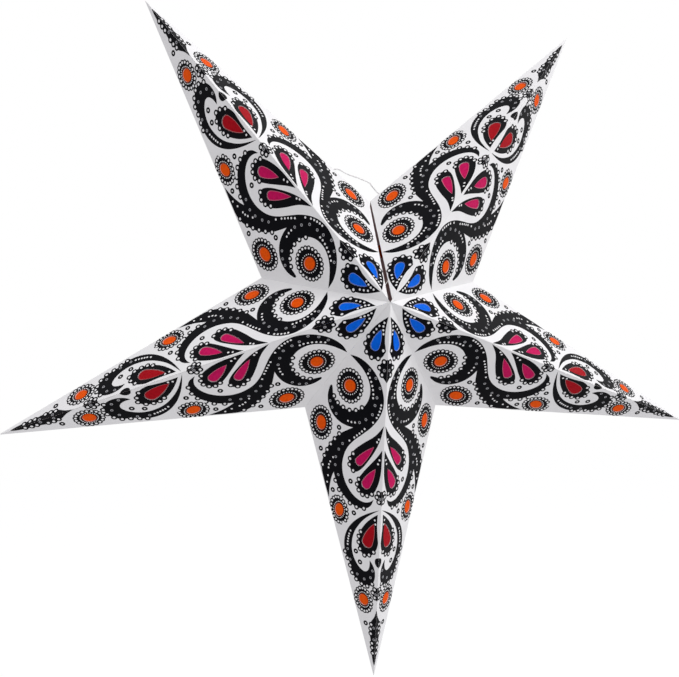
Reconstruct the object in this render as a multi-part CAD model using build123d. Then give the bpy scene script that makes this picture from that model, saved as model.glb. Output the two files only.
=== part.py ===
from build123d import *
import math
import os

# Five-armed folded card star lantern, hung by the string that closes its top slit.
# Millimetres, +Z up, front towards -Y. The origin is where the string crosses the top slit,
# which is the point that the lantern hangs from.

# driving dimensions of the star
arm_count = 5
arm_reach = 305.0  # centre to the tip of an arm
notch_radius = 95.0  # centre to the notch between two arms
half_depth = 75.0  # middle plane to the front or back centre point
hang_rise = 16.0  # notch up to the hanging point

# card, creases and slit
card_thickness = 0.4
crease_gap = 0.05  # each panel's edge to the fold line
back_ridge_gap = 0.15  # more room for each panel beside a ridge at the back
slit_gap_at_notch = 0.75  # each edge of the slit to its middle plane
slit_gap_at_centre = 1.5

# Coloured windows. Places are reached from the centre point by a share of the way to the tip
# and a share of the way to the notch. Radii are shares of the panel's height over its ridge.
drop_shares = {
    # name: (round end's centre, its radius, point)
    "blue": ((0.0600, 0.149), 0.054, (0.0387, 0.085)),
    "inner_magenta": ((0.3173, 0.285), 0.050, (0.3193, 0.110)),
    "outer_magenta": ((0.3993, 0.192), 0.056, (0.3826, 0.085)),
    "red": ((0.5687, 0.150), 0.067, (0.5313, 0.077)),
}
eye_shares = {
    # name: (centre, half length, half width), and the turn in degrees
    "valley": ((0.0870, 0.424), 0.068, 0.063, 70.0),
    "notch": ((0.0951, 0.779), 0.078, 0.062, 5.0),
    "side": ((0.3981, 0.519), 0.074, 0.055, 10.0),
    "tip": ((0.7327, 0.169), 0.065, 0.059, 0.0),
}
tissue_thickness = 0.1
tissue_lap = 1.8  # tissue past the edge of its window
cut_overrun = 1.0  # one overrun for every cut

# glue flaps, which run along a valley
flap_start_share = 0.35  # of the valley's length, from the centre point
flap_end_share = 0.96
flap_width_share = 0.76  # of the room between the valley and the nearest tissue
flap_bevel = 8.0  # the slanted ends, along the valley
flap_clearance = 0.3  # flap to the fold line

# closing string
string_diameter = 1.2
string_hole_radius = 1.5
knot_radius = 2.4
hole_from_side = 4.0  # hole's centre to the side edge of its panel
left_hole_from_notch = 42.0
right_hole_from_notch = 13.0
knot_clearance = 0.3
string_exit = 5.0  # straight run out of each hole
arc_share = 0.45  # of the shorter run that each bend of the string takes up
# Bends of the string between each exit and the hanging point, as shares of the exit's X, Y and Z
left_bend_shares = [(0.80, 0.87, 1.06), (0.60, 0.47, 0.62), (0.32, 0.08, 0.34)]
right_bend_shares = [(0.28, 0.63, 0.17), (0.67, 1.22, 0.46)]

half_step = 180.0 / arm_count
arms = ["upper_left", "left", "bottom", "right", "upper_right"]
slit_angle = 90.0
centre = Vector(0, 0, -notch_radius - hang_rise)


# Point of the middle plane at an angle from +X towards +Z
def polar(radius, angle):
    return Vector(radius * math.cos(math.radians(angle)), 0, radius * math.sin(math.radians(angle)))


# One panel is drawn with its arm along +X: the front one on the +Z side of the ridge.
front_point = Vector(0, -half_depth, 0)
tip_point = polar(arm_reach, 0)
notch_point = polar(notch_radius, half_step)
ridge = tip_point - front_point
valley = notch_point - front_point
outward = ridge.cross(valley).normalized()
panel_plane = Plane(origin=front_point, x_dir=ridge, z_dir=outward)
local_notch = panel_plane.to_local_coords(notch_point)
notch_uv = Vector(local_notch.X, local_notch.Y)
ridge_length = ridge.length
panel_height = notch_uv.Y


# Point that three planes share, each given as a normal and an offset
def meeting_point(planes):
    (n1, d1), (n2, d2), (n3, d3) = planes
    across = n2.cross(n3) * d1 + n3.cross(n1) * d2 + n1.cross(n2) * d3
    return across * (1 / n1.dot(n2.cross(n3)))


# Planes that mitre a panel's three edges: ridge, valley and side
def panel_edges(is_back, at_slit):
    ridge_gap = crease_gap + (back_ridge_gap if is_back else 0)
    beyond_valley = polar(1, half_step + 90)
    if at_slit:
        widening = (slit_gap_at_centre - slit_gap_at_notch) / half_depth
        valley_plane = (beyond_valley - Vector(0, 1, 0) * widening, -slit_gap_at_notch)
    else:
        valley_plane = (beyond_valley, -crease_gap)
    return (Vector(0, 0, 1), ridge_gap), valley_plane, (Vector(0, 1, 0), -crease_gap)


# Triangle of the panel at a depth under its outer face
def panel_outline(depth, edges):
    layer = (outward, outward.dot(front_point) - depth)
    ridge_edge, valley_edge, side_edge = edges
    corners = [
        meeting_point((layer, ridge_edge, valley_edge)),
        meeting_point((layer, ridge_edge, side_edge)),
        meeting_point((layer, valley_edge, side_edge)),
    ]
    return make_face(Polyline(*corners, close=True))


# Round at one end and pointed at the other, with full sides
def drop_face(middle, radius, point):
    away = (middle - point).normalized()
    across = Vector(-away.Y, away.X) * radius
    left, right = middle + across, middle - across
    return make_face([
        TangentArc(left, point, tangent=-away),
        ThreePointArc(left, middle + away * radius, right),
        TangentArc(right, point, tangent=-away),
    ])


# Place in a panel's own plane
def panel_place(shares):
    return Vector(ridge_length, 0) * shares[0] + notch_uv * shares[1]


# The same drop with its outline moved out by a lap
def grown_drop(middle, radius, point, lap):
    stretch = (radius + lap) / radius
    return drop_face(middle, radius + lap, middle + (point - middle) * stretch)


# Outlines of a panel's windows, each moved out by a lap
def window_faces(lap=0):
    shapes = []
    for middle, radius, point in drop_shares.values():
        shapes.append(grown_drop(panel_place(middle), radius * panel_height, panel_place(point), lap))
    for middle, half_length, half_width, turn in eye_shares.values():
        eye = Ellipse(half_length * panel_height + lap, half_width * panel_height + lap)
        shapes.append(Pos(*panel_place(middle)) * Rot(0, 0, turn) * eye)
    return shapes


# A flat shape of the panel's plane made solid, from a depth under the outer face
def in_panel(face, depth, thickness):
    return panel_plane * extrude(Pos(0, 0, -depth) * face, amount=-thickness)


# Punched hole beside the side edge, at a distance from the notch
def hole_centre_uv(from_notch):
    along = (Vector(ridge_length, 0) - notch_uv).normalized()
    inward = Vector(along.Y, -along.X)
    return notch_uv + along * from_notch + inward * hole_from_side


def panel(is_back, at_slit, hole_from_notch=None):
    edges = panel_edges(is_back, at_slit)
    body = loft([panel_outline(0, edges), panel_outline(card_thickness, edges)], ruled=True)
    cut_depth = card_thickness + 2 * cut_overrun
    for face in window_faces():
        body -= in_panel(face, -cut_overrun, cut_depth)
    if hole_from_notch:
        middle = hole_centre_uv(hole_from_notch)
        hole = Pos(middle.X, middle.Y) * Circle(string_hole_radius)
        body -= in_panel(hole, -cut_overrun, cut_depth)
    return body


def tissue_patches():
    return [in_panel(face, card_thickness, tissue_thickness) for face in window_faces(tissue_lap)]


# Strip under the inner face, beside the valley
def glue_flap():
    nearest = min(
        panel_place(middle).cross(notch_uv).length / notch_uv.length - half_length * panel_height
        for middle, half_length, half_width, turn in eye_shares.values()
    )
    flap_width = flap_width_share * (nearest - tissue_lap - flap_clearance)
    turn = math.degrees(math.atan2(notch_uv.Y, notch_uv.X))
    start = flap_start_share * valley.length
    end = flap_end_share * valley.length
    far_edge = -flap_clearance - flap_width
    corners = [
        (start, -flap_clearance),
        (start + flap_bevel, far_edge),
        (end - flap_bevel, far_edge),
        (end, -flap_clearance),
    ]
    strip = Rot(0, 0, turn) * make_face(Polyline(*corners, close=True))
    return in_panel(strip, card_thickness, card_thickness)


def arm_angle(arm_index):
    return slit_angle + half_step + 2 * half_step * arm_index


# Mirror a shape of the drawn panel to another panel and turn it to its arm
def placed(shape, arm_index, is_back, is_clockwise):
    if is_back:
        shape = mirror(shape, about=Plane.XZ)
    if is_clockwise:
        shape = mirror(shape, about=Plane.XY)
    return Pos(*centre) * Rot(0, -arm_angle(arm_index), 0) * shape


def placed_point(point, arm_index, is_back, is_clockwise):
    mirrored = Vector(point.X, -point.Y if is_back else point.Y, -point.Z if is_clockwise else point.Z)
    return centre + mirrored.rotate(Axis.Y, -arm_angle(arm_index))


# Centre of the knot behind a string hole, and the end of the straight run out of it
def string_end(from_notch, arm_index, is_clockwise):
    middle = hole_centre_uv(from_notch)
    knot_height = -card_thickness - knot_clearance - knot_radius
    points = []
    for height in (knot_height, string_exit):
        point = panel_plane.from_local_coords(Vector(middle.X, middle.Y, height))
        points.append(placed_point(point, arm_index, True, is_clockwise))
    return points


def closing_string():
    left_knot, left_exit = string_end(left_hole_from_notch, 0, True)
    right_knot, right_exit = string_end(right_hole_from_notch, arm_count - 1, False)
    left_bends = [Vector(*(a * b for a, b in zip(left_exit, shares))) for shares in left_bend_shares]
    right_bends = [Vector(*(a * b for a, b in zip(right_exit, shares))) for shares in right_bend_shares]
    route = [left_knot, left_exit, *left_bends, Vector(0, 0, 0), *right_bends, right_exit, right_knot]
    runs = [(b - a).length for a, b in zip(route, route[1:])]
    radii = []
    for before, after, a, b, c in zip(runs, runs[1:], route, route[1:], route[2:]):
        half_turn = math.radians((b - a).get_angle(c - b)) / 2
        radii.append(arc_share * min(before, after) / math.tan(half_turn))
    path = FilletPolyline(*route, radius=radii)
    section = Plane(origin=path @ 0, z_dir=path % 0) * Circle(string_diameter / 2)
    tube = sweep(section, path=path)
    print("string runs", [round(run, 1) for run in runs])
    print("string radii", [round(radius, 1) for radius in radii])
    print("string length", round(path.length, 1), "volume", round(tube.volume, 1))
    print("section times length", round(math.pi * string_diameter**2 / 4 * path.length, 1))
    knots = [Pos(*place) * Sphere(knot_radius) for place in (left_knot, right_knot)]
    return tube + knots


os.makedirs("parts", exist_ok=True)
for arm_index, arm in enumerate(arms):
    for face_name, is_back in (("front", False), ("back", True)):
        for side_name, is_clockwise in (("cw", True), ("ccw", False)):
            at_slit = (arm_index == 0 and is_clockwise) or (arm_index == arm_count - 1 and not is_clockwise)
            hole = None
            if at_slit and is_back:
                hole = left_hole_from_notch if is_clockwise else right_hole_from_notch
            name = f"{arm}_{face_name}_{side_name}"
            solid = placed(panel(is_back, at_slit, hole), arm_index, is_back, is_clockwise)
            export_step(solid, f"parts/{name}_panel.step")
            patches = [placed(patch, arm_index, is_back, is_clockwise) for patch in tissue_patches()]
            export_step(Compound(children=patches), f"parts/{name}_tissue.step")
            if is_clockwise and not at_slit:
                flap = placed(glue_flap(), arm_index, is_back, is_clockwise)
                export_step(flap, f"parts/{arm}_{face_name}_glue_flap.step")

export_step(closing_string(), "parts/closing_string.step")
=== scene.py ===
import math

import bmesh
import bpy
from mathutils import Matrix, Vector


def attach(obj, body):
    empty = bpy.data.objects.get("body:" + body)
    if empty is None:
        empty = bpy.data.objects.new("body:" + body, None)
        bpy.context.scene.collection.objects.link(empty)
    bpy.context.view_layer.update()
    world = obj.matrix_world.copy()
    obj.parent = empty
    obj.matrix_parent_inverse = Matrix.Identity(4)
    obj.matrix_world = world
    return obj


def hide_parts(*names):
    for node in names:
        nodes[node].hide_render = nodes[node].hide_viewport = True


# Five-armed folded card star lantern, hung by the string over its top slit.
# Metres, +Z up, front towards -Y, origin at the hanging point, as in the frame.

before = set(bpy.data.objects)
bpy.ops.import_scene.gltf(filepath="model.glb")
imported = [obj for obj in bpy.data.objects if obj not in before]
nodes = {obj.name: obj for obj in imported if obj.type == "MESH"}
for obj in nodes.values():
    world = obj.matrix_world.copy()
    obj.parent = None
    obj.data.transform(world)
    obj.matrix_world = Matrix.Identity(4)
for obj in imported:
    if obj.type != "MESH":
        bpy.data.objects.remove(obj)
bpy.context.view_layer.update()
mm = 0.001

star = {
    "centre": Vector((0, 0, -0.111)),
    "armReach": 0.305,
    "notchRadius": 0.095,
    "halfDepth": 0.075,
    "arms": ["upper_left", "left", "bottom", "right", "upper_right"],
    "firstArm": math.radians(126),
    "step": math.radians(72),
    "armsToSteps": math.radians(18),  # brings each arm to a whole number of steps from +X
}

# A panel is drawn with its arm along +X, at the front, on the +Z side of the ridge.
# u runs from the centre point along the ridge, v from the ridge towards the notch.
frontPoint = Vector((0, -star["halfDepth"], 0))
ridge = Vector((star["armReach"], 0, 0)) - frontPoint
notch = Vector((math.cos(star["step"] / 2), 0, math.sin(star["step"] / 2))) * star["notchRadius"]
valley = notch - frontPoint
uAxis = ridge.normalized()
outward = ridge.cross(valley).normalized()
vAxis = outward.cross(uAxis)
flatNotch = Vector((valley.dot(uAxis), valley.dot(vAxis)))  # the notch in u and v


def addObject(name, data):
    made = bpy.data.objects.new(name, data)
    bpy.context.scene.collection.objects.link(made)
    return made


# camera
camera = {
    "azimuth": -8.521,
    "elevation": 0.38,
    "roll": -0.507,
    "lens": 28.994,
    "sensor": 36,
    "distance": 0.4575,
    "lookAt": Vector((-0.0189, 0, -0.169)),
    "shift": (-0.0139, 0.0669),
    "clipStart": 0.01,
}


def setCamera():
    az, el, roll = (math.radians(camera[key]) for key in ("azimuth", "elevation", "roll"))
    back = Vector((math.sin(az) * math.cos(el), -math.cos(az) * math.cos(el), math.sin(el)))
    right = Vector((math.cos(az), math.sin(az), 0))
    up = back.cross(right)
    sideways = right * math.cos(roll) + up * math.sin(roll)
    upright = up * math.cos(roll) - right * math.sin(roll)
    data = bpy.data.cameras.new("photoCamera")
    data.sensor_width = camera["sensor"]
    data.lens = camera["lens"]
    data.shift_x, data.shift_y = camera["shift"]
    data.clip_start = camera["clipStart"]
    seen = addObject("photoCamera", data)
    place = Matrix((sideways, upright, back)).transposed().to_4x4()
    place.translation = camera["lookAt"] + back * camera["distance"]
    seen.matrix_world = place
    bpy.context.scene.camera = seen


setCamera()
print("camera set")


# shader sockets as values
class Signal:
    def __init__(self, paint, socket):
        self.paint = paint
        self.socket = socket

    def apply(self, operation, *others):
        return self.paint.calculate(operation, self, *others)

    def __add__(self, other):
        return self.apply("ADD", other)

    def __sub__(self, other):
        return self.apply("SUBTRACT", other)

    def __rsub__(self, other):
        return self.paint.calculate("SUBTRACT", other, self)

    def __mul__(self, other):
        return self.apply("MULTIPLY", other)

    def __gt__(self, other):
        return self.apply("GREATER_THAN", other)

    def __lt__(self, other):
        return self.apply("LESS_THAN", other)

    __radd__ = __add__
    __rmul__ = __mul__


# Node tree of a material or a world
class Paint:
    def __init__(self, owner):
        owner.use_nodes = True
        self.owner = owner
        self.tree = owner.node_tree
        self.tree.nodes.clear()

    def add(self, kind, settings=None, sockets=None):
        node = self.tree.nodes.new(kind)
        for key, value in (settings or {}).items():
            setattr(node, key, value)
        for key, value in (sockets or {}).items():
            if isinstance(value, Signal):
                self.tree.links.new(value.socket, node.inputs[key])
            elif value is not None:
                node.inputs[key].default_value = value
        return node

    def value(self, kind, output, settings=None, sockets=None):
        return Signal(self, self.add(kind, settings, sockets).outputs[output])

    def calculate(self, operation, *values):
        return self.value("ShaderNodeMath", 0, {"operation": operation}, dict(enumerate(values)))

    def split(self, vector):
        node = self.add("ShaderNodeSeparateXYZ", None, {0: vector})
        return [Signal(self, output) for output in node.outputs]

    def mix(self, factor, first, second):
        colours = [(*c, 1) if isinstance(c, tuple) else c for c in (first, second)]
        sockets = {0: factor, 6: colours[0], 7: colours[1]}
        return self.value("ShaderNodeMix", 2, {"data_type": "RGBA"}, sockets)

    def noise(self, vector, scale, detail, roughness):
        sockets = {"Vector": vector, "Scale": scale, "Detail": detail, "Roughness": roughness}
        return self.value("ShaderNodeTexNoise", 0, None, sockets)

    def bump(self, height, distance, strength):
        sockets = {"Height": height, "Distance": distance, "Strength": strength}
        return self.value("ShaderNodeBump", 0, None, sockets)

    def finish(self, sockets):
        shader = self.value("ShaderNodeBsdfPrincipled", 0, None, sockets)
        self.add("ShaderNodeOutputMaterial", None, {0: shader})
        return self.owner


# A new material and the place in it
def startMaterial(name):
    paint = Paint(bpy.data.materials.new(name))
    return paint, paint.value("ShaderNodeTexCoord", "Object")


# Place on whichever panel a point lies, all twenty laid over each other: u, v and the
# height over the outer face
def panelPlace(paint, spot):
    x, y, z = paint.split(spot)
    z = z - star["centre"].z
    reach = (x * x + z * z).apply("SQRT")
    turn = (z.apply("ARCTAN2", x) + star["armsToSteps"]).apply("PINGPONG", star["step"] / 2)
    local = (
        reach * turn.apply("COSINE"),
        star["halfDepth"] - y.apply("ABSOLUTE"),
        reach * turn.apply("SINE"),
    )
    return [
        local[0] * axis.x + local[1] * axis.y + local[2] * axis.z
        for axis in (uAxis, vAxis, outward)
    ]


def softEdge(distance, start, end):
    settings = {"interpolation_type": "SMOOTHSTEP"}
    return distance.paint.value("ShaderNodeMapRange", 0, settings, {0: distance, 1: start, 2: end})


# In each material's facts a noise is given by its scale, detail and roughness, a roughness
# by its least and what the noise adds, and a bump by its depth and strength.

# card
card = {
    "white": (0.84, 0.835, 0.835),
    "shade": (0.75, 0.745, 0.75),
    "wornWhite": (0.86, 0.855, 0.85),
    "roughness": (0.52, 0.12),
    "wornRoughness": 0.15,
    "specular": 0.35,
    "fibres": (900, 4, 0.6),
    "clouds": (55, 3, 0.5),
    "cracks": (2600, 2, 0.7),
    "mottle": (0.45, 0.75),  # shares of fibres and clouds
    "relief": (0.5, 1.6),  # heights of fibres and cracks, in bump depths
    "bump": (0.03 * mm, 1),
    "creaseWear": (1.1 * mm, 0.2 * mm),  # from the crease, where wear starts and where it is full
    "ridgeRounding": (1.2 * mm, 11),  # width and fall, the fall in bump depths
    "innerFace": -0.38 * mm,  # lower than this is the inner side
    "paintedInnerGlow": (0.016, 0.009, 0.0085),  # painted glow on the inner side, in place of the little light that comes through card and tissue
}


def cardMaterial(name, printed):
    paint, spot = startMaterial(name)
    fibres = paint.noise(spot, *card["fibres"])
    clouds = paint.noise(spot, *card["clouds"])
    fibreShare, cloudShare = card["mottle"]
    mottle = (fibres * fibreShare + clouds * cloudShare).apply("MINIMUM", 1)
    colour = paint.mix(mottle, card["shade"], card["white"])
    fibreHeight, crackHeight = card["relief"]
    height = fibres * fibreHeight
    smoothest, rougher = card["roughness"]
    roughness = smoothest + fibres * rougher
    paintedGlow = None
    if printed:
        u, v, lift = panelPlace(paint, spot)
        valleyDir = flatNotch.normalized()
        toValley = (u * valleyDir.y - v * valleyDir.x).apply("ABSOLUTE")
        worn = softEdge(v.apply("MINIMUM", toValley), *card["creaseWear"])
        cracks = paint.noise(spot, *card["cracks"])
        colour = paint.mix(worn * cracks, colour, card["wornWhite"])
        width, fall = card["ridgeRounding"]
        height = height + worn * cracks * crackHeight - softEdge(v, width, 0) * fall
        roughness = roughness + worn * card["wornRoughness"]
        # painted glow: the inner side emits a faint light, standing in for the light that comes
        # through card and tissue
        paintedGlow = paint.mix(lift < card["innerFace"], (0, 0, 0), card["paintedInnerGlow"])
    return paint.finish({
        "Base Color": colour,
        "Roughness": roughness,
        "Normal": paint.bump(height, *card["bump"]),
        "Specular IOR Level": card["specular"],
        "Emission Color": paintedGlow,
        "Emission Strength": 1 if printed else 0,
    })


# tissue
tissue = {
    "blue": (0.0, 0.137, 0.8),
    "magenta": (0.58, 0.005, 0.106),
    "red": (0.395, 0.001, 0.008),
    "orange": (0.885, 0.096, 0.001),
    "blueTo": 48 * mm,  # u
    "bands": {"magenta": (98 * mm, 156 * mm, 36 * mm), "red": (160 * mm, 215 * mm, 24 * mm)},
    "roughness": (0.4, 0.14),
    "specular": 0.045,
    "fibres": (500, 5, 0.65),
    "crinkle": (120, 2, 0.4),
    "darkFibres": (0.3, 0.8),  # the noise where a darker fibre starts and is at its darkest
    "darkening": 0.3,
    "fibreHeight": 0.3,  # beside the crinkle's
    "bump": (0.25 * mm, 0.6),
}


# Colour of the window nearest to a point. The bands are from u to u, and up to v.
def windowColour(paint, spot):
    u, v = panelPlace(paint, spot)[:2]
    colour = paint.mix(u < tissue["blueTo"], tissue["orange"], tissue["blue"])
    for name, (start, end, top) in tissue["bands"].items():
        colour = paint.mix((u > start) * (u < end) * (v < top), colour, tissue[name])
    return colour


def tissueMaterial():
    paint, spot = startMaterial("tissue")
    fibres = paint.noise(spot, *tissue["fibres"])
    crinkle = paint.noise(spot, *tissue["crinkle"])
    dark = softEdge(fibres, *tissue["darkFibres"]) * tissue["darkening"]
    smoothest, rougher = tissue["roughness"]
    return paint.finish({
        "Base Color": paint.mix(dark, windowColour(paint, spot), (0, 0, 0)),
        "Roughness": smoothest + fibres * rougher,
        "Normal": paint.bump(crinkle + fibres * tissue["fibreHeight"], *tissue["bump"]),
        "Specular IOR Level": tissue["specular"],
    })


# ink
blackInk = {
    "least": (0.0005, 0.0005, 0.002),
    "most": (0.003, 0.003, 0.005),
    "roughness": (0.3, 0.14),
    "specular": 0.04,
    "grain": (1400, 3, 0.6),
    "patches": (40, 2, 0.5),
    "bump": (0.02 * mm, 0.5),
}


def inkMaterial():
    paint, spot = startMaterial("blackInk")
    grain = paint.noise(spot, *blackInk["grain"])
    patches = paint.noise(spot, *blackInk["patches"])
    smoothest, rougher = blackInk["roughness"]
    return paint.finish({
        "Base Color": paint.mix(grain * patches, blackInk["least"], blackInk["most"]),
        "Roughness": smoothest + grain * rougher,
        "Normal": paint.bump(grain, *blackInk["bump"]),
        "Specular IOR Level": blackInk["specular"],
    })


tint = {
    "paleTint": (0.32, (0.7, 0.7, 0.7)),  # share and colour mixed into the window's
    "darkTint": (0.85, (0, 0, 0)),
    "roughness": 0.5,
    "specular": 0.05,
}


# The window's colour beside its cut, paler or darker
def tintMaterial(name):
    paint, spot = startMaterial(name)
    share, towards = tint[name]
    return paint.finish({
        "Base Color": paint.mix(share, windowColour(paint, spot), towards),
        "Roughness": tint["roughness"],
        "Specular IOR Level": tint["specular"],
    })


prickedRim = {
    "inked": (0.1, 0.1, 0.11),
    "torn": (0.6, 0.6, 0.62),
    "roughness": (0.6, 0.2),
    "specular": 0.2,
    "tears": (1800, 3, 0.6),
    "bump": (0.03 * mm, 0.6),
}


# Inked card pushed up round a pricked hole
def rimMaterial():
    paint, spot = startMaterial("prickedRim")
    tears = paint.noise(spot, *prickedRim["tears"])
    smoothest, rougher = prickedRim["roughness"]
    return paint.finish({
        "Base Color": paint.mix(tears, prickedRim["inked"], prickedRim["torn"]),
        "Roughness": smoothest + tears * rougher,
        "Normal": paint.bump(tears, *prickedRim["bump"]),
        "Specular IOR Level": prickedRim["specular"],
    })


# string
closingString = {
    "diameter": 1.2 * mm,
    "length": 65.4 * mm,
    "route": [
        (-35.3, 0.7, 7.3), (-31.5, 6.4, 11.8), (-25.2, 5.5, 12.5), (-18.9, 3.0, 7.3),
        (-10.1, 0.5, 4.0), (0, 0, 0), (2.6, 4.0, -1.2), (6.3, 7.7, -3.2), (9.4, 6.4, -7.0),
        (13.2, 0.7, -11.4),
    ],
    "steps": (3, 10),  # round a quarter of it, and from point to point
    "knotTurn": 1.25 * mm,
    "knotPoints": 18,
    "knotRise": 0.75,  # of a knot's turn
    "white": (0.96, 0.955, 0.945),
    # darker colour: painted shade in the grooves between the strands, and the fuzz's random darker
    # tone
    "shade": (0.88, 0.87, 0.86),
    "lay": (60, 3),  # turns of the strands along the string, and strands round it
    "fuzz": (3000, 3, 0.7),
    "mottle": (0.6, 0.4),  # shares of the strands, darker in their grooves as painted shade, and of the fuzz's random tone
    "fuzzHeight": 0.5,  # beside the strands'
    "roughness": (0.75, 0.2),
    "bump": (0.12 * mm, 0.7),
    "scatter": (0.8, 1.5 * mm),  # share of the light, and how far it runs in the cotton
}


def stringMaterial():
    paint, spot = startMaterial("cottonString")
    along, around = paint.split(paint.value("ShaderNodeTexCoord", "UV"))[:2]
    turns, strandCount = closingString["lay"]
    wave = ((along * turns + around * strandCount) * (2 * math.pi)).apply("SINE")
    strands = wave * 0.5 + 0.5  # from 0 to 1
    fuzz = paint.noise(spot, *closingString["fuzz"])
    grooveShadeShare, fuzzShare = closingString["mottle"]
    mottle = strands * grooveShadeShare + fuzz * fuzzShare
    smoothest, rougher = closingString["roughness"]
    height = strands + fuzz * closingString["fuzzHeight"]
    share, distance = closingString["scatter"]
    return paint.finish({
        # painted shade: darker where the strands' relief is low, in the grooves between them; the
        # fuzz adds a random tone
        "Base Color": paint.mix(mottle, closingString["shade"], closingString["white"]),
        "Roughness": smoothest + fuzz * rougher,
        "Normal": paint.bump(height, *closingString["bump"]),
        "Subsurface Weight": share,
        "Subsurface Radius": (1, 1, 1),
        "Subsurface Scale": distance,
    })


def curveObject(name, points, closed):
    data = bpy.data.curves.new(name, "CURVE")
    data.dimensions = "3D"
    data.bevel_depth = closingString["diameter"] / 2
    data.bevel_resolution, data.resolution_u = closingString["steps"]
    data.use_fill_caps = True
    spline = data.splines.new("NURBS")
    spline.points.add(len(points) - 1)
    for point, place in zip(spline.points, points):
        point.co = (*place, 1)
    spline.order_u = 4 if closed else 3
    spline.use_cyclic_u = closed
    spline.use_endpoint_u = not closed
    return addObject(name, data)


# The mesh that an object's curves give, as a new object at the origin
def asMesh(made, name):
    bpy.context.view_layer.update()
    graph = bpy.context.evaluated_depsgraph_get()
    mesh = bpy.data.meshes.new_from_object(made.evaluated_get(graph))
    solid = addObject(name, mesh)
    bpy.data.objects.remove(made)
    return solid


def overhandKnot(name, place, along, material):
    turn, count = closingString["knotTurn"], closingString["knotPoints"]
    loop = []
    for i in range(count):
        t = 2 * math.pi * i / count
        loop.append((
            (math.sin(t) + 2 * math.sin(2 * t)) * turn / 3,
            (math.cos(t) - 2 * math.cos(2 * t)) * turn / 3,
            -math.sin(3 * t) * turn * closingString["knotRise"],
        ))
    knot = asMesh(curveObject(name + "Loop", loop, True), name)
    knot.data.transform(Vector((0, 0, 1)).rotation_difference(along).to_matrix().to_4x4())
    knot.data.transform(Matrix.Translation(place))
    knot.data.materials.clear()
    knot.data.materials.append(material)
    for face in knot.data.polygons:
        face.use_smooth = True
    return knot


def makeString(material):
    route = [Vector(point) * mm for point in closingString["route"]]
    string = curveObject("closingString", route, False)
    string.data.materials.append(material)
    left = overhandKnot("leftKnot", route[0], route[1] - route[0], material)
    right = overhandKnot("rightKnot", route[-1], route[-1] - route[-2], material)
    for piece in (string, left, right):
        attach(piece, "upper_left_back_cw")
    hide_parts("closing_string")


makeString(stringMaterial())
print("string made")


# print: one panel's ink, drawn in u and v in millimetres
# A point with a third value is a sharp corner, the others are passed smoothly.
windows = {
    # name: (round end's centre, radius, point), as the card is cut
    "blue": ((32.6, 11.6), 4.21, (20.0, 6.6)),
    "innerMagenta": ((126.0, 22.2), 3.90, (110.5, 8.6)),
    "outerMagenta": ((143.2, 15.0), 4.37, (128.0, 6.6)),
    "red": ((192.5, 11.7), 5.23, (174.0, 6.0)),
}
dropBorders = {
    "blue": [
        (10.6, 1.1, 1), (20, 2.9), (28.5, 3.2), (35.8, 2.4), (41.4, 6.2), (42.6, 12.7),
        (39.2, 18.8), (32.0, 20.2), (24.4, 17.2), (17.4, 11.0),
    ],
    "innerMagenta": [
        (92.4, 0.7, 1), (103, 3.1), (112.5, 7.0), (122.4, 12.9), (131.0, 19.2), (135.6, 25.4),
        (134.2, 30.2), (127.8, 31.9), (119.0, 28.2), (110.6, 19.4), (101.6, 8.0),
    ],
    "outerMagenta": [
        (111.8, 1.3, 1), (121, 1.3), (131.8, 1.8), (142.2, 4.3), (150.3, 8.8), (153.3, 15.8),
        (150.6, 21.6), (143.4, 23.4), (134.8, 18.6), (126.6, 12.2), (118.6, 5.8),
    ],
    "red": [
        (165.6, 2.9, 1), (176, 3.0), (184.5, 2.2), (191.4, 1.6), (199.6, 4.6), (204.7, 10.2),
        (203.6, 16.8), (196.8, 20.1), (187.6, 19.6), (178.2, 14.9), (170.5, 8.4),
    ],
}
eyes = {
    # name: (centre, half axes of the cut, outer half axes of the beads, turn of each)
    "valley": ((66.6, 33.1), (5.30, 4.91), (12.3, 10.9), 70, 0, 22),
    "notch": ((102.0, 60.8), (6.08, 4.84), (13.0, 9.7), 5, 5, 22),
    "side": ((173.1, 40.5), (5.77, 4.29), (11.0, 8.0), 10, -12, 19),
    "tip": ((245.8, 13.2), (5.07, 4.60), (10.2, 7.7), 0, -8, 18),
}
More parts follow.
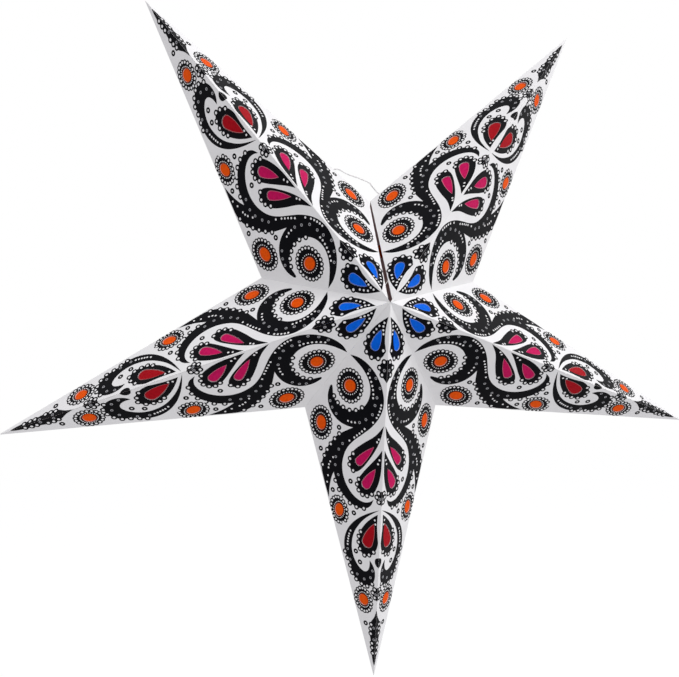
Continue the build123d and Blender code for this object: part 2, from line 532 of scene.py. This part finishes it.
scrolls = {
    "greatScroll": [
        (42.2, 33.6, 1), (43.6, 24.5), (49.4, 14.3), (58.0, 6.8), (67.8, 2.6), (77.0, 1.9),
        (86.0, 4.8), (95.0, 11.2), (102.5, 19.2), (110.0, 27.8), (118.0, 34.3), (127.0, 37.7),
        (136.0, 38.3), (145.0, 35.8), (152.4, 30.8), (157.2, 24.3), (159.0, 17.2),
        (157.6, 11.6), (154.4, 7.3, 1), (160.6, 10.2), (164.4, 16.0), (165.2, 23.3),
        (162.6, 31.0), (157.8, 37.6), (151.2, 43.0), (141.4, 47.0, 1), (147.6, 49.2),
        (156.0, 50.8), (165.3, 51.2, 1), (157.8, 54.2), (149.8, 57.0), (141.0, 59.4),
        (132.4, 58.4), (124.4, 55.4), (117.4, 51.2), (111.4, 46.4), (106.6, 40.6),
        (102.8, 34.6), (99.5, 29.0, 1), (99.0, 36.2), (96.6, 43.4), (91.8, 49.4),
        (85.4, 53.2), (78.4, 54.3), (72.4, 53.2), (68.6, 50.8), (71.6, 49.6), (77.4, 48.8),
        (81.9, 45.0), (84.8, 39.6), (85.9, 33.0), (84.7, 26.2), (81.6, 20.4), (76.6, 16.4),
        (70.6, 14.4), (64.2, 14.5), (57.6, 17.0), (51.6, 21.6), (46.8, 27.2),
    ],
    "crescent": [
        (161.4, 1.3, 1), (166.6, 8.0), (172.6, 14.6), (180.0, 20.3), (188.6, 24.8),
        (198.0, 26.6), (207.0, 25.6), (214.4, 21.7), (218.8, 16.2), (218.9, 11.7),
        (214.6, 8.9), (207.8, 8.6, 1), (212.0, 4.9), (218.2, 3.0), (225.0, 3.8), (230.4, 7.2),
        (232.2, 12.4), (230.8, 19.2), (226.0, 24.9), (218.6, 27.6), (209.6, 32.8),
        (200.0, 34.4), (190.4, 32.6), (182.0, 28.0), (175.0, 21.7), (169.0, 14.2), (164.8, 7.6),
    ],
    "nearBlob": [
        (41.6, 0.0, 1), (43.6, 4.2), (48.2, 7.2), (53.4, 5.2), (59.2, 0.0, 1),
    ],
    "middleBlob": [(145.2, 0.0, 1), (147.4, 3.4), (151.0, 4.9), (154.4, 3.0), (157.6, 0.0, 1)],
    "darkDrop": [(202.6, 0.0, 1), (204.4, 3.0), (207.6, 3.7), (210.4, 2.2), (211.6, 0.0, 1)],
    "farBlob": [(229.6, 0.0, 1), (232.0, 3.4), (235.6, 4.9), (239.4, 2.9), (242.4, 0.0, 1)],
    "tipLeaf": [
        (250.0, 0.0, 1), (257.0, 1.8), (262.0, 4.3), (266.2, 6.0), (273.8, 6.0), (281.0, 4.5),
        (288.0, 3.8), (295.5, 2.6), (301.0, 1.3), (304.0, 0.0, 1),
    ],
}
beads = [
    # along the blue drop
    (35.5, 4.2), (41.6, 8.4), (41.6, 14.2), (38.0, 18.7), (32.0, 19.8), (26.6, 17.3),
    # inner and outer magenta drops
    (121.0, 27.9), (125.8, 30.8), (130.8, 31.2), (135.0, 27.6), (150.0, 9.2), (152.6, 13.6),
    (152.8, 18.0), (150.0, 21.6), (145.6, 23.3), (141.0, 21.8),
    # red drop
    (199.2, 5.4), (203.2, 9.5), (205.0, 13.9), (200.9, 18.3), (195.4, 19.9), (190.2, 20.0),
    (185.6, 18.2),
    # inner curl of the scroll
    (82.0, 21.0), (85.2, 26.7), (86.3, 32.8), (85.0, 38.9), (82.2, 44.4), (77.4, 48.2),
    # lower edge and outer curl of its branch
    (107.6, 42.0), (112.8, 46.4), (118.2, 50.4), (123.8, 53.8), (129.6, 56.6), (138.0, 58.4),
    (148.3, 44.8), (155.4, 41.0), (160.2, 36.0), (163.8, 29.8), (165.2, 23.2), (164.2, 16.2),
    # crescent
    (208.6, 33.2), (213.8, 30.6), (219.6, 27.6), (225.6, 25.4), (229.8, 21.0), (232.0, 15.6),
    (231.8, 10.0), (228.2, 5.4),
    # blobs on the ridge
    (43.8, 3.0), (48.4, 6.8), (53.6, 4.4), (147.6, 2.8), (151.2, 4.4), (154.8, 2.4),
    (232.2, 2.8), (235.8, 4.5), (239.6, 2.4), (265.8, 4.6), (270.2, 5.0), (274.6, 4.7),
    (283.2, 3.1), (287.4, 2.8), (292.4, 2.0),
]
ringDots = [
    (102.3, 42.5), (124.3, 60.6), (144.8, 29.8), (157.3, 47.4), (171.3, 25.6), (204.5, 22.4),
    (212.8, 18.0), (266.8, 10.1),
]
smallDots = [
    (76.7, 3.9), (79.3, 4.3), (81.9, 5.1), (84.6, 6.1), (87.3, 7.5), (91.6, 10.6),
    (54.4, 16.7), (57.3, 15.0), (60.3, 13.6), (63.3, 12.5), (66.3, 11.8), (69.5, 11.3),
    (72.5, 11.4), (98.3, 18.0), (100.8, 20.4), (103.0, 22.6), (105.1, 25.0), (107.3, 27.4),
    (111.0, 32.0), (95.0, 27.2), (95.4, 30.6), (95.0, 33.9), (128.9, 47.8), (133.3, 50.6),
    (136.1, 51.8), (139.0, 52.2), (188.0, 28.3), (191.2, 29.5), (193.5, 30.0), (195.9, 30.4),
    (198.4, 30.7), (201.1, 30.8), (15.2, 4.2), (17.8, 5.0), (20.6, 4.9), (23.4, 4.6),
    (17.8, 8.4), (20.4, 10.8), (23.0, 13.0), (103.8, 4.7), (106.3, 6.2),
    (120.2, 3.4), (123.7, 4.6), (171.2, 5.4), (174.6, 4.6), (146.0, 52.6), (152.0, 53.4),
]
prickedHoles = [
    (51.6, 15.4), (57.0, 9.6), (64.0, 5.6), (71.6, 8.0), (77.9, 9.4), (85.5, 11.4),
    (90.6, 17.2), (94.2, 23.0), (91.4, 45.6), (87.0, 49.8), (82.0, 51.8), (115.0, 38.6),
    (120.6, 42.2), (127.8, 45.0), (134.8, 45.4), (142.6, 42.2), (205.2, 30.6), (214.0, 27.8),
    (224.8, 20.2), (226.6, 13.2), (223.0, 7.2), (216.2, 5.6), (50.0, 2.6), (152.0, 1.6),
    (236.4, 1.6), (279.0, 1.5), (268.0, 2.0),
]
inkWork = {
    "cutGap": -0.03,  # from a window's cut to the ink, which just laps over it
    "tintGap": 0.03,  # from a window's cut inwards to the tints on the tissue
    "dropShade": 0.3,  # dark edge of a drop's tissue, from the cut inwards
    "paleLine": 0.3,  # pale line inside that, or inside the cut of an eye
    "eyeHalo": 0.7,  # dark tint round the cut of an eye
    "bead": (2.35, 1.08),  # radius of the black and of the white dot in it
    "eyeBead": (2.05, 0.98),
    "eyeOverlap": 0.4,  # from the middle of an eye's beads to the edge of the black between them
    "ringDot": (2.2, 0.7),
    "smallDot": 0.84,
    "prick": (1.15, 0.55),  # outer and inner radius of the raised rim of a pricked hole
    "eyeRingDot": 0.48,
    "eyeRingShare": 0.33,  # of the way from the cut to the beads
    "eyeRingCount": 23,
    "edgeGap": 0.08,  # from the ink to the panel's edges
    "backRidgeGap": 0.3,  # the panels leave more room beside a ridge at the back
    "halfThickness": 0.015,
    "mergeWithin": 0.002,
    "layers": {  # height of each layer's middle over the card's outer face
        "tissue": -0.38, "black": 0.02, "tint": 0.025, "oddBeads": 0.03, "evenBeads": 0.04,
        "white": 0.05,
    },
    "outlineSteps": 5,  # from point to point
    "dotSteps": 3,
    "sharpHandle": 0.3,  # a curve's handles, as shares of the way to the next point
    "smoothHandle": 0.36,
    "roundHandle": 0.5523,  # for a quarter circle, as a share of its radius
}


def flatCurve(name, steps):
    data = bpy.data.curves.new(name, "CURVE")
    data.dimensions = "2D"
    data.fill_mode = "BOTH"
    data.resolution_u = steps
    data.extrude = inkWork["halfThickness"]
    return data


# Closed curve, each corner given by its place and the handles before and after it
def addCurve(data, corners):
    spline = data.splines.new("BEZIER")
    spline.bezier_points.add(len(corners) - 1)
    spline.use_cyclic_u = True
    for bezier, (place, before, after) in zip(spline.bezier_points, corners):
        bezier.handle_left_type = bezier.handle_right_type = "FREE"
        bezier.co, bezier.handle_left, bezier.handle_right = place, before, after


# Closed outline through points, with sharp corners where a point has a third value
def addOutline(data, points):
    sharp, smooth = inkWork["sharpHandle"], inkWork["smoothHandle"]
    places = [Vector((*point[:2], 0)) for point in points]
    corners = []
    for i, place in enumerate(places):
        before, after = places[i - 1], places[(i + 1) % len(places)]
        if len(points[i]) > 2:
            handles = place.lerp(before, sharp), place.lerp(after, sharp)
        else:
            along = (after - before).normalized()
            handles = (
                place - along * (place - before).length * smooth,
                place + along * (after - place).length * smooth,
            )
        corners.append((place, *handles))
    addCurve(data, corners)


def addEllipse(data, middle, halfAxes, turn=0.0):
    middle = Vector((*middle, 0))
    swing = Matrix.Rotation(math.radians(turn), 3, "Z")
    corners = []
    for c, s in ((1, 0), (0, 1), (-1, 0), (0, -1)):
        out = Vector((c * halfAxes[0], s * halfAxes[1], 0))
        along = Vector((-s * halfAxes[0], c * halfAxes[1], 0)) * inkWork["roundHandle"]
        corners.append([middle + swing @ way for way in (out, out - along, out + along)])
    addCurve(data, corners)


def addDot(data, place, radius):
    addEllipse(data, place, (radius, radius))


# A cut drop moved out by a rim: round at one end, with full sides that meet in a point
def addDrop(data, middle, radius, point, rim):
    middle, point = Vector((*middle, 0)), Vector((*point, 0))
    away = (middle - point).normalized()
    across = Vector((-away.y, away.x, 0))
    point -= away * 2 * rim
    radius += rim
    left, right = middle + across * radius, middle - across * radius
    top = middle + away * radius
    chord = point - left
    bow = chord.angle(-away)
    pull = chord.length * math.tan(bow / 2) * 2 / 3 / math.sin(bow)
    # the side leaves the corner along -away and meets the point turned by twice the bow
    arrive = chord * (2 * chord.dot(-away) / chord.length_squared) + away
    fromLeft = point - arrive * pull
    fromRight = fromLeft - across * 2 * (fromLeft - middle).dot(across)
    quarter = radius * inkWork["roundHandle"]
    addCurve(data, [
        (point, fromRight, fromLeft),
        (left, left - away * pull, left + away * quarter),
        (top, top + across * quarter, top - across * quarter),
        (right, right + away * quarter, right - away * pull),
    ])


def ellipsePoints(middle, halfAxes, turn, count):
    swing = Matrix.Rotation(math.radians(turn), 2)
    for i in range(count):
        angle = 2 * math.pi * i / count
        out = Vector((halfAxes[0] * math.cos(angle), halfAxes[1] * math.sin(angle)))
        yield Vector(middle) + swing @ out


def grown(halfAxes, rim):
    return [side + rim for side in halfAxes]


def drawBlack():
    data = flatCurve("inkBase", inkWork["outlineSteps"])
    for name, window in windows.items():
        addOutline(data, dropBorders[name])
        addDrop(data, *window, inkWork["cutGap"])
    for outline in scrolls.values():
        addOutline(data, outline)
    for middle, cut, outer, turn, outerTurn, count in eyes.values():
        addEllipse(data, middle, grown(outer, inkWork["eyeOverlap"]), outerTurn)
        addEllipse(data, middle, grown(cut, inkWork["cutGap"]), turn)
    for place in ringDots:
        addDot(data, place, inkWork["ringDot"][0])
    return data


# Dark edges and pale lines on the tissue inside the cuts, and a dark tint round the eyes
def drawTints():
    names = ("dropShades", "paleLines", "eyeHalos")
    shades, lines, halos = (flatCurve(name, inkWork["outlineSteps"]) for name in names)
    widths = ("tintGap", "dropShade", "paleLine", "eyeHalo")
    gap, shade, line, halo = (inkWork[width] for width in widths)
    for window in windows.values():
        for data, depths in ((shades, (gap, shade)), (lines, (shade, shade + line))):
            for depth in depths:
                addDrop(data, *window, -depth)
    for middle, cut, outer, turn, outerTurn, count in eyes.values():
        for data, rims in ((lines, (-gap, -line)), (halos, (-gap, halo))):
            for rim in rims:
                addEllipse(data, middle, grown(cut, rim), turn)
    return shades, lines, halos


# White dots, and the black round the larger ones, where neighbours lie in different layers
def drawBeads():
    names = ("oddBeads", "evenBeads", "whiteDots")
    *backs, dots = (flatCurve(name, inkWork["dotSteps"]) for name in names)

    def addBeads(places, radii):
        for i, place in enumerate(places):
            addDot(backs[i % 2], place, radii[0])
            addDot(dots, place, radii[1])

    addBeads(beads, inkWork["bead"])
    for middle, cut, outer, turn, outerTurn, count in eyes.values():
        addBeads(ellipsePoints(middle, outer, outerTurn, count), inkWork["eyeBead"])
        ring = [a + (b - a) * inkWork["eyeRingShare"] for a, b in zip(cut, outer)]
        for place in ellipsePoints(middle, ring, turn, inkWork["eyeRingCount"]):
            addDot(dots, place, inkWork["eyeRingDot"])
    for place in ringDots:
        addDot(dots, place, inkWork["ringDot"][1])
    for place in smallDots:
        addDot(dots, place, inkWork["smallDot"])
    return (*backs, dots)


def drawPricks():
    data = flatCurve("prickedRims", inkWork["outlineSteps"])
    for place in prickedHoles:
        for radius in inkWork["prick"]:
            addDot(data, place, radius)
    return data


# Filled outlines made a thin layer of ink, lifted over the card's outer face
def inkLayer(data, lift):
    layer = asMesh(addObject(data.name, data), data.name)
    layer.data.transform(Matrix.Translation((0, 0, lift)))
    bpy.data.curves.remove(data)
    return layer


# Cuts off what passes the ridge, the valley or the side edge, and closes the cuts
def trimToPanel(shape, ridgeGap):
    corners = [Vector((0, 0, 0)), Vector((ridge.length / mm, 0, 0)), flatNotch.to_3d() / mm]
    inside = (corners[0] + corners[1] + corners[2]) / 3
    for i, corner in enumerate(corners):
        gap = inkWork["edgeGap"] if i else ridgeGap
        across = (corners[(i + 1) % 3] - corner).normalized().cross(Vector((0, 0, 1)))
        if across.dot(inside - corner) > 0:
            across.negate()
        cut = bmesh.ops.bisect_plane(
            shape, geom=shape.verts[:] + shape.edges[:] + shape.faces[:],
            plane_co=corner - across * gap, plane_no=across, clear_outer=True,
        )
        rim = [item for item in cut["geom_cut"] if isinstance(item, bmesh.types.BMEdge)]
        bmesh.ops.edgenet_fill(shape, edges=rim)


# All of one panel's layers in one mesh
def drawPrint(inks, ridgeGap):
    shades, lines, halos = drawTints()
    oddBeads, evenBeads, dots = drawBeads()
    pieces = [
        (drawBlack(), "black", "black"), (shades, "tissue", "dark"), (lines, "tissue", "pale"),
        (halos, "tint", "dark"), (oddBeads, "oddBeads", "black"),
        (evenBeads, "evenBeads", "black"), (dots, "white", "white"),
        (drawPricks(), "white", "pricked"),
    ]
    joined = bmesh.new()
    for data, height, inkName in pieces:
        layer = inkLayer(data, inkWork["layers"][height])
        start = len(joined.faces)
        joined.from_mesh(layer.data)
        joined.faces.ensure_lookup_table()
        for face in joined.faces[start:]:
            face.material_index = list(inks).index(inkName)
            face.smooth = False
        bpy.data.objects.remove(layer)
    bmesh.ops.remove_doubles(joined, verts=joined.verts, dist=inkWork["mergeWithin"])
    trimToPanel(joined, ridgeGap)
    drawn = bpy.data.meshes.new("panelPrint")
    joined.to_mesh(drawn)
    joined.free()
    for material in inks.values():
        drawn.materials.append(material)
    return drawn


# From the drawing's millimetres to a panel of the star
def panelMatrix(armIndex, isBack, isClockwise):
    angle = star["firstArm"] + star["step"] * armIndex
    drawing = Matrix((uAxis, vAxis, outward)).transposed().to_4x4()
    drawing.translation = frontPoint
    flip = Matrix.Diagonal((1, -1 if isBack else 1, -1 if isClockwise else 1, 1))
    turned = Matrix.Translation(star["centre"]) @ Matrix.Rotation(-angle, 4, "Y")
    return turned @ flip @ drawing @ Matrix.Scale(mm, 4)


def dress(node, material):
    for slot in node.material_slots:
        slot.material = material


printedCard = cardMaterial("printedCard", True)
plainCard = cardMaterial("plainCard", False)
tissuePaint = tissueMaterial()
inks = {
    "black": inkMaterial(),
    "white": plainCard,
    "pricked": rimMaterial(),
    "pale": tintMaterial("paleTint"),
    "dark": tintMaterial("darkTint"),
}
print("materials made")

prints = {
    "front": drawPrint(inks, inkWork["edgeGap"]),
    "back": drawPrint(inks, inkWork["backRidgeGap"]),
}
print("print drawn", len(prints["front"].polygons), "faces")

for armIndex, arm in enumerate(star["arms"]):
    for face in ("front", "back"):
        for side in ("cw", "ccw"):
            body = f"{arm}_{face}_{side}"
            dress(nodes[body + "_panel"], printedCard)
            dress(nodes[body + "_tissue"], tissuePaint)
            panelPrint = prints[face].copy()
            panelPrint.transform(panelMatrix(armIndex, face == "back", side == "cw"))
            if (face == "back") != (side == "cw"):  # mirrored once, so inside out
                panelPrint.flip_normals()
            piece = addObject(body + "_print", panelPrint)
            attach(piece, body)
        flap = nodes.get(f"{arm}_{face}_glue_flap")
        if flap:
            dress(flap, plainCard)
for drawn in prints.values():
    bpy.data.meshes.remove(drawn)
print("panels dressed")


# floor, backdrop and light
room = {
    "floorHeight": -0.95,
    "floorSize": 9,
    "floorGrey": 0.85,  # of the matt floor that takes the shadow
    "floorGlow": (0.85, 1.07),  # share of the white that is seen over it, and its strength
    "ambient": (0.69, 0.685, 0.71),
    "key": {"place": (0.893, -1.14, 1.12), "size": 0.9, "power": 18.6},
}


# 1 for the rays that see the background, also in metal and through glass
def seenRays(paint):
    path = paint.add("ShaderNodeLightPath")
    names = ("Is Camera Ray", "Is Glossy Ray", "Is Transmission Ray")
    seen, glossy, through = (Signal(paint, path.outputs[name]) for name in names)
    return seen.apply("MAXIMUM", glossy).apply("MAXIMUM", through)


def setFloor():
    shape = bmesh.new()
    bmesh.ops.create_grid(shape, x_segments=1, y_segments=1, size=room["floorSize"] / 2)
    bmesh.ops.translate(shape, verts=shape.verts, vec=(0, 0, room["floorHeight"]))
    mesh = bpy.data.meshes.new("floor")
    shape.to_mesh(mesh)
    shape.free()
    floor = addObject("floor", mesh)
    paint = Paint(bpy.data.materials.new("paleFloor"))
    share, strength = room["floorGlow"]
    white = paint.value("ShaderNodeEmission", 0, None, {0: (1, 1, 1, 1), 1: strength})
    grey = (room["floorGrey"],) * 3
    matt = paint.value("ShaderNodeBsdfDiffuse", 0, None, {0: (*grey, 1)})
    sockets = {0: seenRays(paint) * share, 1: matt, 2: white}
    mixed = paint.value("ShaderNodeMixShader", 0, None, sockets)
    paint.add("ShaderNodeOutputMaterial", None, {0: mixed})
    mesh.materials.append(paint.owner)


def setWorld():
    world = bpy.data.worlds.new("room")
    bpy.context.scene.world = world
    paint = Paint(world)
    colour = paint.mix(seenRays(paint), room["ambient"], (1, 1, 1))
    ground = paint.value("ShaderNodeBackground", 0, None, {0: colour})
    paint.add("ShaderNodeOutputWorld", None, {0: ground})


def setLamp(name):
    facts = room[name]
    data = bpy.data.lights.new(name, "AREA")
    data.shape = "DISK"
    data.size = facts["size"]
    data.energy = facts["power"]
    lamp = addObject(name, data)
    lamp.location = facts["place"]
    aim = Vector(facts["place"]) - star["centre"]
    lamp.rotation_euler = aim.to_track_quat("Z", "Y").to_euler()


setFloor()
setWorld()
setLamp("key")
bpy.context.scene.view_settings.view_transform = "Standard"
print("room lit")
